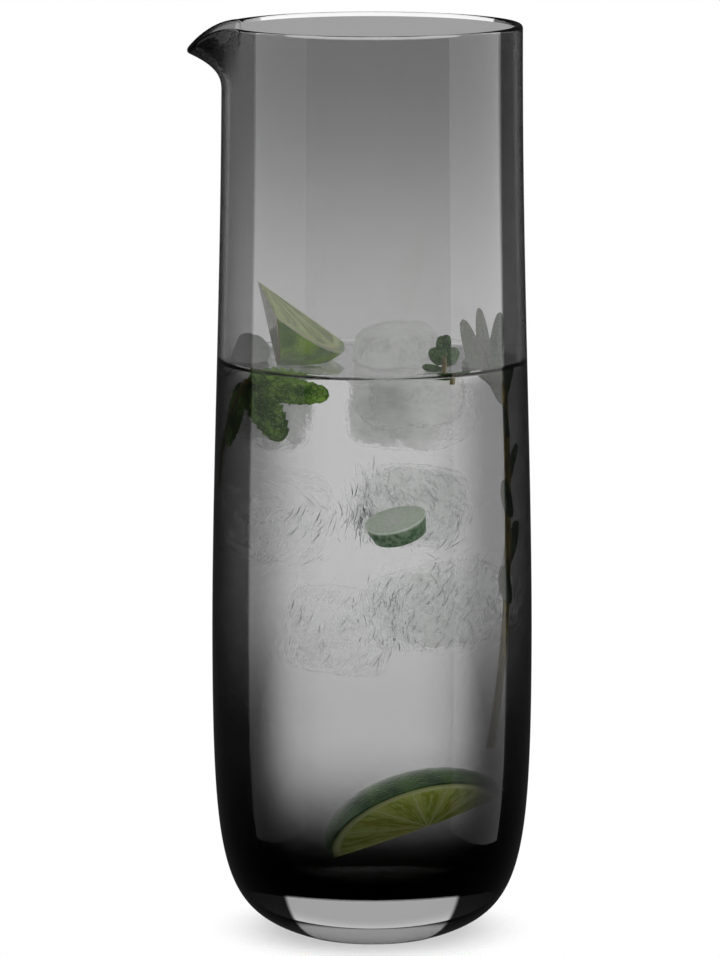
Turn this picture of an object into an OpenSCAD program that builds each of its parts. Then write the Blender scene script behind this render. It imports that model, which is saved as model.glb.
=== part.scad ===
/* [Vessel] */
// Overall height, from the foot to the top of the rim
height = 300; // [260:5:340]
// Outside diameter at the belly, the widest place
belly_d = 105.2; // [96:0.2:120]
// Height of the belly above the foot
belly_z = 97; // [80:1:115]
// Outside diameter just under the rim
rim_d = 97.8; // [90:0.2:104]
// Diameter of the flat that the pitcher stands on
foot_d = 50; // [40:1:64]
// Thickness of the clear glass in the wall
clear_wall = 1.85; // [1.5:0.05:3]
// Thickness of the smoked glass cased inside the clear glass
smoke_wall = 0.8; // [0.5:0.05:1.2]
// Depth of solid clear glass under the cup
base_depth = 17.5; // [10:0.5:24]

/* [Spout] */
// How far the lip stands out past the wall
spout_reach = 12.4; // [6:0.2:14]
// Height of the bent stretch of wall under the rim
spout_depth = 22; // [16:1:30]
// How far the middle of the lip drops below the rim
spout_drop = 8; // [4:0.5:10]
// Half of the angle round the rim that the spout takes
spout_angle = 26; // [20:1:34]

/* [Drink] */
// Height of the drink's surface above the foot
fill = 190; // [176:1:200]
// How high the drink climbs the wall at its edge
meniscus = 1.6; // [1:0.1:2]

/* [Limes] */
// Diameter of a whole lime
lime_d = 44; // [38:1:46]
// Length of a whole lime
lime_length = 58; // [50:1:62]
// Thickness of the lime's peel and pith
peel = 2.2; // [1.5:0.1:3]
// Thickness of the round slice
slice_depth = 6; // [4:0.5:8]

/* [Herbs] */
// Diameter of a sprig's stem
stem_d = 2.4; // [1.6:0.2:3]
// Length of a full mint leaf
mint_leaf = 25; // [18:1:27]
// Length of a full leaf on the tall sprig
herb_leaf = 30; // [24:1:32]
// Thickness of a leaf
leaf_depth = 0.7; // [0.5:0.1:1]

/* [Fit] */
// Gap round each loose piece that lifts out
clearance = 0.3; // [0.2:0.05:0.5]

/* [Hidden] */
$fn = 96;

// Driving sizes as radii, and the sizes that follow from them
belly_r = belly_d / 2;
rim_r = rim_d / 2;
foot_r = foot_d / 2;
wall = clear_wall + smoke_wall;
half_wall = wall / 2;
join_z = height - spout_depth;
bore_r = belly_r - wall;

// Share of the height from belly to rim, raised to this, sets the wall's draw
draw_power_share = 0.88;
// Control points of the outside from foot to belly, as shares across and up
foot_curve_shares = [[0, 0], [0.87, 0.085], [1, 0.205], [1, 1]];
// Control points of the cup's inside from floor to belly, as shares across and up
cup_curve_shares = [[0, 0], [0.92, 0], [1, 0.07], [1, 1]];
foot_steps = 14;
cup_steps = 14;
wall_steps = 12;
bend_steps = 9;
rim_steps = 4;
spout_bearing = 180;
fine_turn = 3;
coarse_turn = 5;
fine_reach = 30;
bend_power = 2.7;
// How far the bent collar's rings stand in from the turned wall that it meets
seat_step = 0.08;

// Point at share t of a curve with four control points
function curve(p, t) =
  pow(1 - t, 3) * p[0] + 3 * pow(1 - t, 2) * t * p[1] +
  3 * (1 - t) * t * t * p[2] + pow(t, 3) * p[3];

// Outside radius of the wall at height z, from the belly up
function wall_r(z) =
  belly_r - (belly_r - rim_r)
    * (1 - cos(180 * pow(max(0, z - belly_z) / (height - belly_z), draw_power_share))) / 2;

wall_heights = concat(
  [for (i = [0:wall_steps - 1]) belly_z + (join_z - belly_z) * i / wall_steps],
  [join_z]
);

// Outside of the vessel, from the foot's edge up to the bent collar
outside = concat(
  [
    for (i = [0:foot_steps - 1])
      let (c = curve(foot_curve_shares, i / foot_steps))
      [foot_r + (belly_r - foot_r) * c[0], belly_z * c[1]]
  ],
  [for (z = wall_heights) [wall_r(z), z]]
);

// Inside of the vessel at a depth behind the outside face, from the floor's middle up
function inside(depth, floor_z) = concat(
  [
    for (i = [0:cup_steps - 1])
      let (c = curve(cup_curve_shares, i / cup_steps))
      [(belly_r - depth) * c[0], floor_z + (belly_z - floor_z) * c[1]]
  ],
  [for (z = wall_heights) [wall_r(z) - depth, z]]
);

cup_wall = inside(clear_wall, base_depth);
drink_wall = inside(wall, base_depth + smoke_wall);

function backwards(list) = [for (i = [len(list) - 1:-1:0]) list[i]];

// Bearings of the collar's columns, close together round the spout
bearings = concat(
  [for (a = [-fine_reach:fine_turn:fine_reach]) spout_bearing + a],
  [
    for (a = [fine_reach + coarse_turn:coarse_turn:360 - fine_reach - coarse_turn])
      spout_bearing + a
  ]
);

// How fully the spout is drawn out at a bearing, from 0 to 1
function drawn(bearing) =
  let (a = min(1, abs(bearing - spout_bearing) / spout_angle)) pow(1 - a * a, 2);

// Middle of the wall's thickness in the collar, as radius and height
function collar_middle(bearing, t) =
  let (b = drawn(bearing), z = join_z + t * spout_depth)
  [
    wall_r(z) - half_wall + spout_reach * b * pow(max(0, t), bend_power),
    z - max(0, t) * spout_drop * b * b
  ];

// Direction up the wall in the collar, from two points a little above and below
probe_share = 0.01;
function collar_rise(bearing, t) =
  let (d = collar_middle(bearing, t + probe_share) - collar_middle(bearing, t - probe_share))
  t <= 0 ? [0, 1] : d / norm(d);

// Point at share t up the collar and at a depth behind the outside face
function collar_point(bearing, t, depth) =
  let (
    rise = collar_rise(bearing, t),
    out = [rise[1], -rise[0]],
    s = half_wall - depth,
    crown = t >= 1 ? half_wall - sqrt(max(0, half_wall * half_wall - s * s)) : 0,
    inset = t <= 0 ? (depth > 0 ? seat_step : -seat_step) : 0,
    p = collar_middle(bearing, t) + s * out - crown * rise
  )
  [(p[0] + inset) * cos(bearing), (p[0] + inset) * sin(bearing), p[1]];

// One closed section of the collar, up one face, over the rim and down the other
function collar_section(bearing, from_depth, to_depth) = concat(
  [for (i = [0:bend_steps - 1]) collar_point(bearing, i / bend_steps, from_depth)],
  [
    for (i = [0:rim_steps])
      collar_point(bearing, 1, from_depth + (to_depth - from_depth) * i / rim_steps)
  ],
  [for (i = [bend_steps - 1:-1:0]) collar_point(bearing, i / bend_steps, to_depth)]
);

// Joins closed sections into a ring of triangles, or a tube with its ends shut
function skin(columns, rows, ring, flip) =
  let (
    last = ring ? columns - 1 : columns - 2,
    sides = [
      for (c = [0:last], r = [0:rows - 1])
        let (
          a = c * rows + r,
          b = c * rows + (r + 1) % rows,
          d = ((c + 1) % columns) * rows + (r + 1) % rows,
          e = ((c + 1) % columns) * rows + r
        )
        each [[a, d, b], [a, e, d]]
    ],
    caps = ring ? [] : [
      each [for (r = [1:rows - 2]) [0, r, r + 1]],
      each [
        for (r = [1:rows - 2])
          let (z = (columns - 1) * rows)
          [z, z + r + 1, z + r]
      ]
    ],
    faces = concat(sides, caps)
  )
  flip ? [for (f = faces) [f[0], f[2], f[1]]] : faces;

module collar(from_depth, to_depth, flip) {
  sections = [for (b = bearings) collar_section(b, from_depth, to_depth)];
  polyhedron(
    points = [for (s = sections) each s],
    faces = skin(len(bearings), len(sections[0]), true, flip)
  );
}

module glass_shell() {
  color([0.62, 0.64, 0.66, 0.35]) {
    rotate_extrude() {
      polygon(concat([[0, 0]], outside, backwards(cup_wall)));
    }
    collar(0, clear_wall, true);
  }
}

module smoke_layer() {
  color([0.2, 0.2, 0.21, 0.6]) {
    rotate_extrude() {
      polygon(concat(cup_wall, backwards(drink_wall)));
    }
    collar(wall, clear_wall, false);
  }
}

// Inside radius of the smoked layer at height z
function drink_r(z) = lookup(z, [for (p = drink_wall) if (p[0] > bore_r / 2) [p[1], p[0]]]);

// Width of the drink's upturned edge, in climbs, and the points along it
edge_climbs = 2.5;
edge_steps = 4;
drink_edge = [
  for (i = [0:edge_steps])
    let (u = i / edge_steps)
    [drink_r(fill + meniscus) - edge_climbs * meniscus * u, fill + meniscus * pow(1 - u, 2)]
];

// The drink fills the cup to the fill line and gives way round each piece in it
module drink() {
  color([0.85, 0.9, 0.9, 0.3]) difference() {
    rotate_extrude() {
      polygon(concat([for (p = drink_wall) if (p[1] < fill) p], drink_edge, [[0, fill]]));
    }
    for (i = [0:len(ice_place_shares) - 1]) ice_block(i, i == 0 ? clearance : 0);
    at_wedge() lime_body(clearance) wedge_cut(clearance);
    at_low_lime() lime_body(0) low_cut();
    at_slice() slice_disc();
    mint_form(0);
    tip_form(0);
    herb_form(clearance);
  }
}

// Ice: a block's middle as shares of the bore across and of the fill line up
ice_place_shares = [
  [0.18, -0.1, 0.98],
  [-0.53, -0.17, 0.91],
  [0.15, 0.58, 0.9],
  [-0.49, 0.24, 0.73],
  [0.2, -0.1, 0.76],
  [-0.18, -0.3, 0.55],
  [0.3, 0.42, 0.565],
  [-0.795, -0.03, 1.01],
];
// A block's sides as shares of the bore's radius
ice_side_shares = [
  [0.58, 0.54, 0.72],
  [0.4, 0.4, 0.42],
  [0.5, 0.42, 0.52],
  [0.6, 0.54, 0.66],
  [0.54, 0.5, 0.56],
  [0.62, 0.54, 0.6],
  [0.56, 0.52, 0.58],
  [0.19, 0.22, 0.28],
];
// A block's turns about the three axes
ice_turns = [
  [8, -6, 14],
  [-12, 18, 30],
  [6, 10, -20],
  [14, 9, 8],
  [-7, 12, 24],
  [-9, 7, -14],
  [-8, -10, 35],
  [20, 12, 40],
];
// Melted corners: radius of the ball that trims a block, as a share of its diagonal
melt_share = 0.4;

module ice_block(i, grow) {
  place = ice_place_shares[i];
  sides = ice_side_shares[i] * bore_r + [grow, grow, grow] * 2;
  translate([place[0] * bore_r, place[1] * bore_r, place[2] * fill])
    rotate(ice_turns[i])
      intersection() {
        cube(sides, center = true);
        sphere(r = norm(sides) * melt_share);
      }
}

module ice_piece(i) {
  color([0.9, 0.94, 0.96, 0.7]) ice_block(i, 0);
}
module ice_top() { ice_piece(0); }
module ice_upper_left() { ice_piece(1); }
module ice_upper_right() { ice_piece(2); }
module ice_middle_left() { ice_piece(3); }
module ice_middle_back() { ice_piece(4); }
module ice_lower_front() { ice_piece(5); }
module ice_lower_right() { ice_piece(6); }
module ice_chip() { ice_piece(7); }

// Limes: a whole lime stands on its long axis, blunt at one end and drawn out at the other
lime_r = lime_d / 2;
lime_steps = 16;
nipple_share = 0.06;
nipple_power = 12;
lime_power_share = 0.92;
function lime_outline(r, half) = [
  for (i = [0:lime_steps])
    let (a = -90 + 180 * i / lime_steps, c = max(0, cos(a)))
    [
      i % lime_steps == 0 ? 0 : r * pow(c, lime_power_share),
      half * (sin(a) + (a > 0 ? nipple_share * pow(sin(a), nipple_power) : 0))
    ]
];

// A lime, or its inside, grown by a gap and kept only where the cut piece lies
module lime_body(grow, skin_depth = 0) {
  intersection() {
    rotate_extrude() {
      polygon(lime_outline(lime_r - skin_depth + grow, lime_length / 2 - skin_depth + grow));
    }
    children();
  }
}

// The floating wedge, a slice along the lime cut across on a slant. Its lowest corner lies at
// a place in the drink's surface, and that corner is given as shares of the lime's own sizes
wedge_place_shares = [-0.615, -0.222, 0.998];
wedge_corner_shares = [0.576, 0.748, 0.346];
wedge_turn = [53, 158.6, 109];
wedge_opening_angle = 48.5;
wedge_twist_angle = 4;
wedge_slant_angle = 49.5;
wedge_slant_bearing_angle = -90;
wedge_cut_share = 0.32;
module at_wedge() {
  translate([
    wedge_place_shares[0] * bore_r,
    wedge_place_shares[1] * bore_r,
    wedge_place_shares[2] * fill
  ])
    rotate(wedge_turn)
      translate([
        -wedge_corner_shares[0] * lime_r,
        -wedge_corner_shares[1] * lime_r,
        -wedge_corner_shares[2] * lime_length / 2
      ])
        children();
}
module wedge_cut(grow) {
  intersection() {
    rotate([0, 0, wedge_twist_angle]) sector(wedge_opening_angle, grow);
    translate([0, 0, -wedge_cut_share * lime_length / 2])
      rotate([0, 0, wedge_slant_bearing_angle]) rotate([0, wedge_slant_angle, 0])
        translate([-lime_length, -lime_length, -grow]) cube(lime_length * 2);
  }
}
// Upright sector of space between two planes through the long axis, from the X axis round
module sector(opening, grow) {
  half = opening / 2;
  rotate([0, 0, half])
    translate([-grow / sin(half), 0, -lime_length])
      linear_extrude(lime_length * 2) {
        polygon([
          [0, 0],
          [lime_length * cos(half), -lime_length * sin(half)],
          [lime_length * 2, 0],
          [lime_length * cos(half), lime_length * sin(half)],
        ]);
      }
}

// Splits a cut piece of lime into its peel and its flesh
module peel_of() {
  color([0.16, 0.32, 0.07]) difference() {
    lime_body(0) children();
    lime_core();
  }
}
module flesh_of() {
  color([0.62, 0.7, 0.3]) lime_body(0, peel) children();
}
module lime_core() {
  rotate_extrude() {
    polygon(lime_outline(lime_r - peel, lime_length / 2 - peel));
  }
}
module lime_wedge_peel() { at_wedge() peel_of() wedge_cut(0); }
module lime_wedge_flesh() { at_wedge() flesh_of() wedge_cut(0); }

// The wedge low in the drink, cut along the lime, its flesh towards the front
low_place_shares = [0.25, -0.22, 0.2];
low_turn = [-56, -45, -115];
low_opening_angle = 78;
low_size_share = 0.87;
module at_low_lime() {
  translate([
    low_place_shares[0] * bore_r,
    low_place_shares[1] * bore_r,
    low_place_shares[2] * fill
  ])
    rotate(low_turn) scale(low_size_share) children();
}
module low_cut() {
  rotate([0, 0, -low_opening_angle]) sector(low_opening_angle, 0);
}
module lime_low_peel() { at_low_lime() peel_of() low_cut(); }
module lime_low_flesh() { at_low_lime() flesh_of() low_cut(); }

// The round end slice that hangs among the ice
slice_place_shares = [0.15, -0.66, 0.74];
slice_turn = [18, -14, 0];
slice_r_share = 0.42;
slice_taper_share = 0.85;
slice_r = lime_r * slice_r_share;
slice_core_r = slice_r * slice_taper_share - peel / 2;
module at_slice() {
  translate([
    slice_place_shares[0] * bore_r,
    slice_place_shares[1] * bore_r,
    slice_place_shares[2] * fill
  ])
    rotate(slice_turn) children();
}
module slice_disc() {
  cylinder(h = slice_depth, r1 = slice_r * slice_taper_share, r2 = slice_r, center = true);
}
module lime_slice_peel() {
  color([0.2, 0.36, 0.1]) at_slice() difference() {
    slice_disc();
    cylinder(h = slice_depth * 2, r = slice_core_r, center = true);
  }
}
module lime_slice_flesh() {
  color([0.7, 0.75, 0.45]) at_slice() cylinder(h = slice_depth, r = slice_core_r, center = true);
}

// Leaf blade along +Z, folded at its midrib and bent back towards its tip
leaf_stations = 8;
leaf_fold_share = 0.16;
leaf_bend_share = 0.18;
leaf_skew_share = 0.8;
leaf_round_share = 0.4;
leaf_end_share = 0.01;
leaf_corners = 6;
function leaf_half_width(u) =
  pow(max(leaf_end_share, sin(180 * pow(u, leaf_skew_share))), leaf_round_share) / 2;
function leaf_station(length, width, depth, u) =
  let (
    w = width * leaf_half_width(u),
    y = length * leaf_bend_share * u * u,
    side = y + w * leaf_fold_share,
    z = length * u,
    h = depth / 2
  )
  [[-w, side - h, z], [0, y - h, z], [w, side - h, z], [w, side + h, z], [0, y + h, z], [-w, side + h, z]];
module leaf(length, width_share, grow) {
  stations = [
    for (i = [0:leaf_stations])
      leaf_station(
        length + grow, length * width_share + grow * 2, leaf_depth + grow * 2, i / leaf_stations
      )
  ];
  polyhedron(
    points = [for (s = stations) each s],
    faces = skin(leaf_stations + 1, leaf_corners, false, false)
  );
}

// Stem of round section along a bent line of three control points
stem_rings = 12;
stem_sides = 8;
function along(p, u) = pow(1 - u, 2) * p[0] + 2 * (1 - u) * u * p[1] + u * u * p[2];
module stem(path, radius) {
  points = [
    for (i = [0:stem_rings], s = [0:stem_sides - 1])
      along(path, i / stem_rings)
        + radius * [cos(360 * s / stem_sides), sin(360 * s / stem_sides), 0]
  ];
  polyhedron(points = points, faces = skin(stem_rings + 1, stem_sides, false, false));
}

// Leaves on a stem: place along it, bearing, lean from upright, twist, length and width shares
module leaves_on(path, leaves, length, grow) {
  for (l = leaves)
    translate(along(path, l[0]))
      rotate([0, l[2], l[1]])
        rotate([0, 0, l[3]])
          leaf(length * l[4], l[5], grow);
}

// Places given as shares of the drink's radius at its surface and of the fill line up
surface_r = wall_r(fill) - wall;
function placed(shares) = [for (p = shares) [p[0] * surface_r, p[1] * surface_r, p[2] * fill]];

// Mint sprig at the left, under the floating wedge
mint_stem_shares = [[-0.956, -0.125, 0.78], [-0.956, -0.249, 0.9], [-0.79, -0.499, 0.985]];
mint_leaf_shares = [
  [1, -31, 150, 0, 0.9, 0.6],
  [0.97, -14, 112, 40, 0.86, 0.5],
  [0.95, 110, 162, 0, 0.9, 0.5],
  [1, -25, 101, 12, 1.05, 0.46],
];
module mint_form(grow) {
  path = placed(mint_stem_shares);
  stem(path, stem_d / 2 + grow);
  leaves_on(path, mint_leaf_shares, mint_leaf, grow);
}
module mint_sprig() { color([0.2, 0.42, 0.1]) mint_form(0); }

// Small mint tip that floats in front of the top ice
tip_stem_d_share = 2 / 3;
tip_stem_shares = [[0.478, -0.519, 0.98], [0.478, -0.519, 1], [0.478, -0.519, 1.03]];
tip_leaf_shares = [
  [1, 180, 10, 0, 0.24, 0.8],
  [1, 0, 14, 25, 0.24, 0.8],
  [0.72, 180, 44, 0, 0.26, 0.85],
  [0.66, 0, 40, 0, 0.26, 0.85],
  [0.4, 185, 76, 15, 0.3, 0.45],
];
module tip_form(grow) {
  path = placed(tip_stem_shares);
  stem(path, stem_d * tip_stem_d_share / 2 + grow);
  leaves_on(path, tip_leaf_shares, mint_leaf, grow);
}
module mint_tip() { color([0.14, 0.3, 0.08]) tip_form(0); }

// Tall sprig at the right, from low in the drink to above its surface
herb_stem_shares = [[0.623, -0.021, 0.33], [0.893, -0.312, 0.66], [0.769, -0.27, 1.02]];
herb_leaf_shares = [
  [0.88, 180, 18, 0, 1, 0.2],
  [0.89, 178, 7, 0, 1.04, 0.15],
  [0.9, 0, 1, 60, 0.94, 0.12],
  [0.9, 0, 7, 0, 0.9, 0.18],
  [0.92, 175, 40, 0, 0.42, 0.5],
  [0.8, -95, 40, 40, 0.45, 0.5],
  [0.68, 55, 32, 30, 0.48, 0.5],
  [0.6, -95, 36, 60, 0.5, 0.5],
  [0.48, 50, 28, 20, 0.5, 0.5],
  [0.38, -95, 34, 60, 0.5, 0.5],
];
module herb_form(grow) {
  path = placed(herb_stem_shares);
  stem(path, stem_d / 2 + grow);
  leaves_on(path, herb_leaf_shares, herb_leaf, grow);
}
module herb_sprig() { color([0.17, 0.3, 0.1]) herb_form(0); }

glass_shell();
smoke_layer();
drink();
ice_top();
ice_upper_left();
ice_upper_right();
ice_middle_left();
ice_middle_back();
ice_lower_front();
ice_lower_right();
ice_chip();
lime_wedge_peel();
lime_wedge_flesh();
lime_low_peel();
lime_low_flesh();
lime_slice_peel();
lime_slice_flesh();
mint_sprig();
mint_tip();
herb_sprig();
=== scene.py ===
import math
import random

import bpy
from mathutils import Matrix, Vector, noise


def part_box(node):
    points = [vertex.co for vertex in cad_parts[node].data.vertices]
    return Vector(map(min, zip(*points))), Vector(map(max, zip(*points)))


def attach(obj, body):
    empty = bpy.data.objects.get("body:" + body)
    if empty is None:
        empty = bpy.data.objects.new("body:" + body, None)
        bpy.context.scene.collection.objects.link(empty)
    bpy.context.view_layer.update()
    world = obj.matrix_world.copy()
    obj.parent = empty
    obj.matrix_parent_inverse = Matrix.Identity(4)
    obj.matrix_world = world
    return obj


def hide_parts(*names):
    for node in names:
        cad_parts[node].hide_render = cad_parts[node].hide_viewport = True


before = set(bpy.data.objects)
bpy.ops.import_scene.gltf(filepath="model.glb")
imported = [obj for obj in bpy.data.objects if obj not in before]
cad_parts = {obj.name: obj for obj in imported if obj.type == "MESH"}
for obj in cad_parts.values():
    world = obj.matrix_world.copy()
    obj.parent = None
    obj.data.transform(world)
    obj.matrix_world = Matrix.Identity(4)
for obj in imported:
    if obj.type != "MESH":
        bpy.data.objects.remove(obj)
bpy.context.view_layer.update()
scene = bpy.context.scene


# Camera
# The photograph is taken from 2 m away and a little above, looking down at the belly.
# Its focal length is worked out from the image's height of 956 pixels, and light may pass
# through as many faces of glass, water and ice as lie behind each other.
image_height_px = 956
focal_px = 6175
camera_place = Vector((-0.00395, -2.0, 0.4705))
camera_pitch = math.radians(9.08)
sensor_height = 24
camera_data = bpy.data.cameras.new("camera")
camera_data.sensor_fit = "VERTICAL"
camera_data.sensor_height = sensor_height
camera_data.lens = focal_px / image_height_px * sensor_height
camera = bpy.data.objects.new("camera", camera_data)
camera.location = camera_place
camera.rotation_euler = (math.pi / 2 - camera_pitch, 0, 0)
scene.collection.objects.link(camera)
scene.camera = camera
scene.view_settings.view_transform = "Standard"
glass_bounces = 24
film_bounces = 48
scene.cycles.max_bounces = glass_bounces
scene.cycles.transmission_bounces = glass_bounces
scene.cycles.transparent_max_bounces = film_bounces


# World
# A white studio behind the pitcher, against which its outline stands clear. It is plain grey
# where it only lights the pitcher, and nearly dark where the glass reflects it.
reflected_light = 0.03
ambient_light = 0.9


def add(tree, kind, sockets=None, **settings):
    """Adds a shader node; sockets gives each input its value, or the output that feeds it."""
    made = tree.nodes.new("ShaderNode" + kind)
    for name, value in settings.items():
        setattr(made, name, value)
    for name, value in (sockets or {}).items():
        if isinstance(value, bpy.types.NodeSocket):
            tree.links.new(value, made.inputs[name])
        else:
            made.inputs[name].default_value = value
    return made


def math_node(tree, operation, *values):
    """Output of a math node."""
    return add(tree, "Math", dict(enumerate(values)), operation=operation).outputs[0]


world = bpy.data.worlds.new("studio")
scene.world = world
world.use_nodes = True
world.node_tree.nodes.clear()
rays = add(world.node_tree, "LightPath").outputs
seen = math_node(world.node_tree, "MAXIMUM", rays["Is Camera Ray"], rays["Is Transmission Ray"])
unseen = add(
    world.node_tree,
    "Mix",
    {"Factor": rays["Is Glossy Ray"], 2: ambient_light, 3: reflected_light},
).outputs[0]
strength = add(world.node_tree, "Mix", {"Factor": seen, 2: unseen, 3: 1.0}).outputs[0]
background = add(world.node_tree, "Background", {"Color": (1, 1, 1, 1), "Strength": strength})
add(world.node_tree, "OutputWorld", {"Surface": background.outputs[0]})


# Lamps
# Two tall softboxes, one on each side of the camera. Their reflections are the pale upright
# strips in the glass, and they light the limes, the leaves and the ice.
lamp_distance = 1.2
lamp_height = 2.15
lamp_middle = 0.625
# Each lamp's name, bearing from the camera in degrees, width in metres and power in watts
softboxes = (("softbox_left", -74, 1.06, 2.9), ("softbox_right", 85, 1.14, 7.2))


def softbox(name, bearing, width, power):
    """Upright soft lamp that faces the pitcher's axis, seen only in reflections and as light."""
    data = bpy.data.lights.new(name, "AREA")
    data.shape = "RECTANGLE"
    data.size = width
    data.size_y = lamp_height
    data.energy = power
    made = bpy.data.objects.new(name, data)
    across, ahead = lamp_distance * math.sin(bearing), lamp_distance * math.cos(bearing)
    made.location = (across, -ahead, lamp_middle)
    aim = Vector((0, 0, lamp_middle)) - made.location
    made.rotation_euler = aim.to_track_quat("-Z", "Y").to_euler()
    made.visible_camera = False
    made.visible_transmission = False
    scene.collection.objects.link(made)


for name, degrees, width, power in softboxes:
    softbox(name, math.radians(degrees), width, power)


# Floor
# A pale matte floor under the foot. It fades out round the pitcher, so that only a soft
# shadow is left of it in the white studio.
floor_size = 1.6
floor_fade = (0.026, 0.055)
floor_white = (0.98, 0.98, 0.98, 1)


def span(tree, value, from_low, from_high, to_low=0.0, to_high=1.0):
    """Maps a value from one range to another, eased at both ends and held outside."""
    sockets = {
        "Value": value,
        "From Min": from_low,
        "From Max": from_high,
        "To Min": to_low,
        "To Max": to_high,
    }
    return add(tree, "MapRange", sockets, interpolation_type="SMOOTHSTEP").outputs[0]


def new_material(name):
    """Empty material and its node tree."""
    made = bpy.data.materials.new(name)
    made.use_nodes = True
    made.node_tree.nodes.clear()
    return made, made.node_tree


def finish_surface(tree, shader):
    """Feeds a shader to the material's surface."""
    add(tree, "OutputMaterial", {"Surface": shader})


bpy.ops.mesh.primitive_plane_add(size=floor_size, location=(0, 0, 0))
floor = bpy.context.active_object
floor.name = "floor"
floor_material, tree = new_material("floor")
place = add(tree, "TexCoord").outputs["Object"]
distance = add(tree, "VectorMath", {0: place}, operation="LENGTH").outputs["Value"]
fade = span(tree, distance, *floor_fade)
pale = add(tree, "BsdfDiffuse", {"Color": floor_white}).outputs[0]
clear = add(tree, "BsdfTransparent").outputs[0]
finish_surface(tree, add(tree, "MixShader", {0: fade, 1: pale, 2: clear}).outputs[0])
floor.data.materials.append(floor_material)
floor.visible_glossy = False


# Vessel
# A hand-blown pitcher of clear glass with a thin smoked layer cased inside its wall, a thick
# clear foot, and a rim drawn out and bent down into a pouring lip. It stands for both solids.
high_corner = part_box("glass_shell")[1]
height = high_corner.z
belly_r = high_corner.x
belly_z = 0.097
rim_r = 0.0489
foot_r = 0.025
clear_wall = 0.00185
smoke_wall = 0.0008
wall = clear_wall + smoke_wall
half_wall = wall / 2
base_depth = 0.0175
spout_reach = 0.0124
spout_depth = 0.022
spout_drop = 0.008
spout_angle = math.radians(26)
spout_bearing = math.pi
join_z = height - spout_depth
fill = 0.190
meniscus = 0.0016
bore_r = belly_r - wall
draw_power = 0.88
bend_power = 2.7
foot_curve = ((0, 0), (0.87, 0.085), (1, 0.205), (1, 1))
cup_curve = ((0, 0), (0.92, 0), (1, 0.07), (1, 1))
columns = 240
underside_rings = (0.5, 0.9)
foot_steps = 40
belly_steps = 48
collar_steps = 16
lip_steps = 12
slope_step = 0.01
edge_gap = 0.001
glass_ior = 1.5


def curve(controls, t):
    """Point at share t of a curve with four control points."""
    weights = ((1 - t) ** 3, 3 * (1 - t) ** 2 * t, 3 * (1 - t) * t**2, t**3)
    return [sum(w * c[axis] for w, c in zip(weights, controls)) for axis in (0, 1)]


def wall_r(z):
    """Outside radius of the wall at a height, from the belly up."""
    share = max(0, z - belly_z) / (height - belly_z)
    return belly_r - (belly_r - rim_r) * (1 - math.cos(math.pi * share**draw_power)) / 2


def collar_middle(bearing, t):
    """Middle of the wall's thickness in the bent collar, as radius and height."""
    turn = min(1, abs(bearing - spout_bearing) / spout_angle)
    drawn = (1 - turn * turn) ** 2
    z = join_z + t * spout_depth
    bent = max(0, t)
    radius = wall_r(z) - half_wall + spout_reach * drawn * bent**bend_power
    return Vector((radius, z - bent * spout_drop * drawn * drawn))


def collar_point(bearing, t, side, crown=0.0):
    """Point of the collar, side half walls out from its middle and crown half walls up."""
    below = collar_middle(bearing, t - slope_step)
    rise = (collar_middle(bearing, t + slope_step) - below).normalized()
    out = Vector((rise.y, -rise.x))
    return collar_middle(bearing, t) + half_wall * (side * out + crown * rise)


def ring(profile_point):
    """Points round the axis for a function that gives radius and height at a bearing."""
    points = []
    for c in range(columns):
        bearing = 2 * math.pi * c / columns
        radius, z = profile_point(bearing)
        points.append((radius * math.cos(bearing), radius * math.sin(bearing), z))
    return points


def revolve(name, rings, finishes):
    """Smooth closed mesh from a pole over rings of points to a pole, with a slot for each band."""
    points = [rings[0]] + [p for r in rings[1:-1] for p in r] + [rings[-1]]
    count = len(rings[1])
    faces = []
    slots = []
    for band, slot in enumerate(finishes):
        lower = 1 + (band - 1) * count
        for c in range(count):
            d = (c + 1) % count
            if band == 0:
                faces.append((0, 1 + d, 1 + c))
            elif band == len(finishes) - 1:
                faces.append((lower + c, lower + d, len(points) - 1))
            else:
                faces.append((lower + c, lower + d, lower + count + d, lower + count + c))
            slots.append(slot)
    mesh = bpy.data.meshes.new(name)
    mesh.from_pydata(points, [], faces)
    mesh.polygons.foreach_set("material_index", slots)
    mesh.polygons.foreach_set("use_smooth", [True] * len(faces))
    mesh.update()
    made = bpy.data.objects.new(name, mesh)
    scene.collection.objects.link(made)
    return made


def shares(count):
    """Even steps from 0 up to, but without, 1."""
    return [i / count for i in range(count)]


outside_profile = [(foot_r * s, 0) for s in underside_rings]
for t in shares(foot_steps):
    across, up = curve(foot_curve, t)
    outside_profile.append((foot_r + (belly_r - foot_r) * across, belly_z * up))
wall_heights = [belly_z + (join_z - belly_z) * t for t in shares(belly_steps)]
fill_edge = fill + meniscus
wet_heights = [z for z in wall_heights if z < fill_edge - edge_gap]
dry_heights = [z for z in wall_heights if z > fill_edge + edge_gap]
outside_profile += [(wall_r(z), z) for z in wall_heights]


def cup_profile(depth, floor_z):
    """Inside of the cup from near the floor's middle up to the belly, at a depth in the wall."""
    found = []
    for t in shares(belly_steps):
        across, up = curve(cup_curve, t)
        found.append(((belly_r - depth) * across, floor_z + (belly_z - floor_z) * up))
    return found[1:]


inside_wet = cup_profile(wall, base_depth + smoke_wall)
inside_wet += [(wall_r(z) - wall, z) for z in wet_heights + [fill_edge]]
inside_dry = [(wall_r(z) - wall, z) for z in dry_heights]

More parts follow.
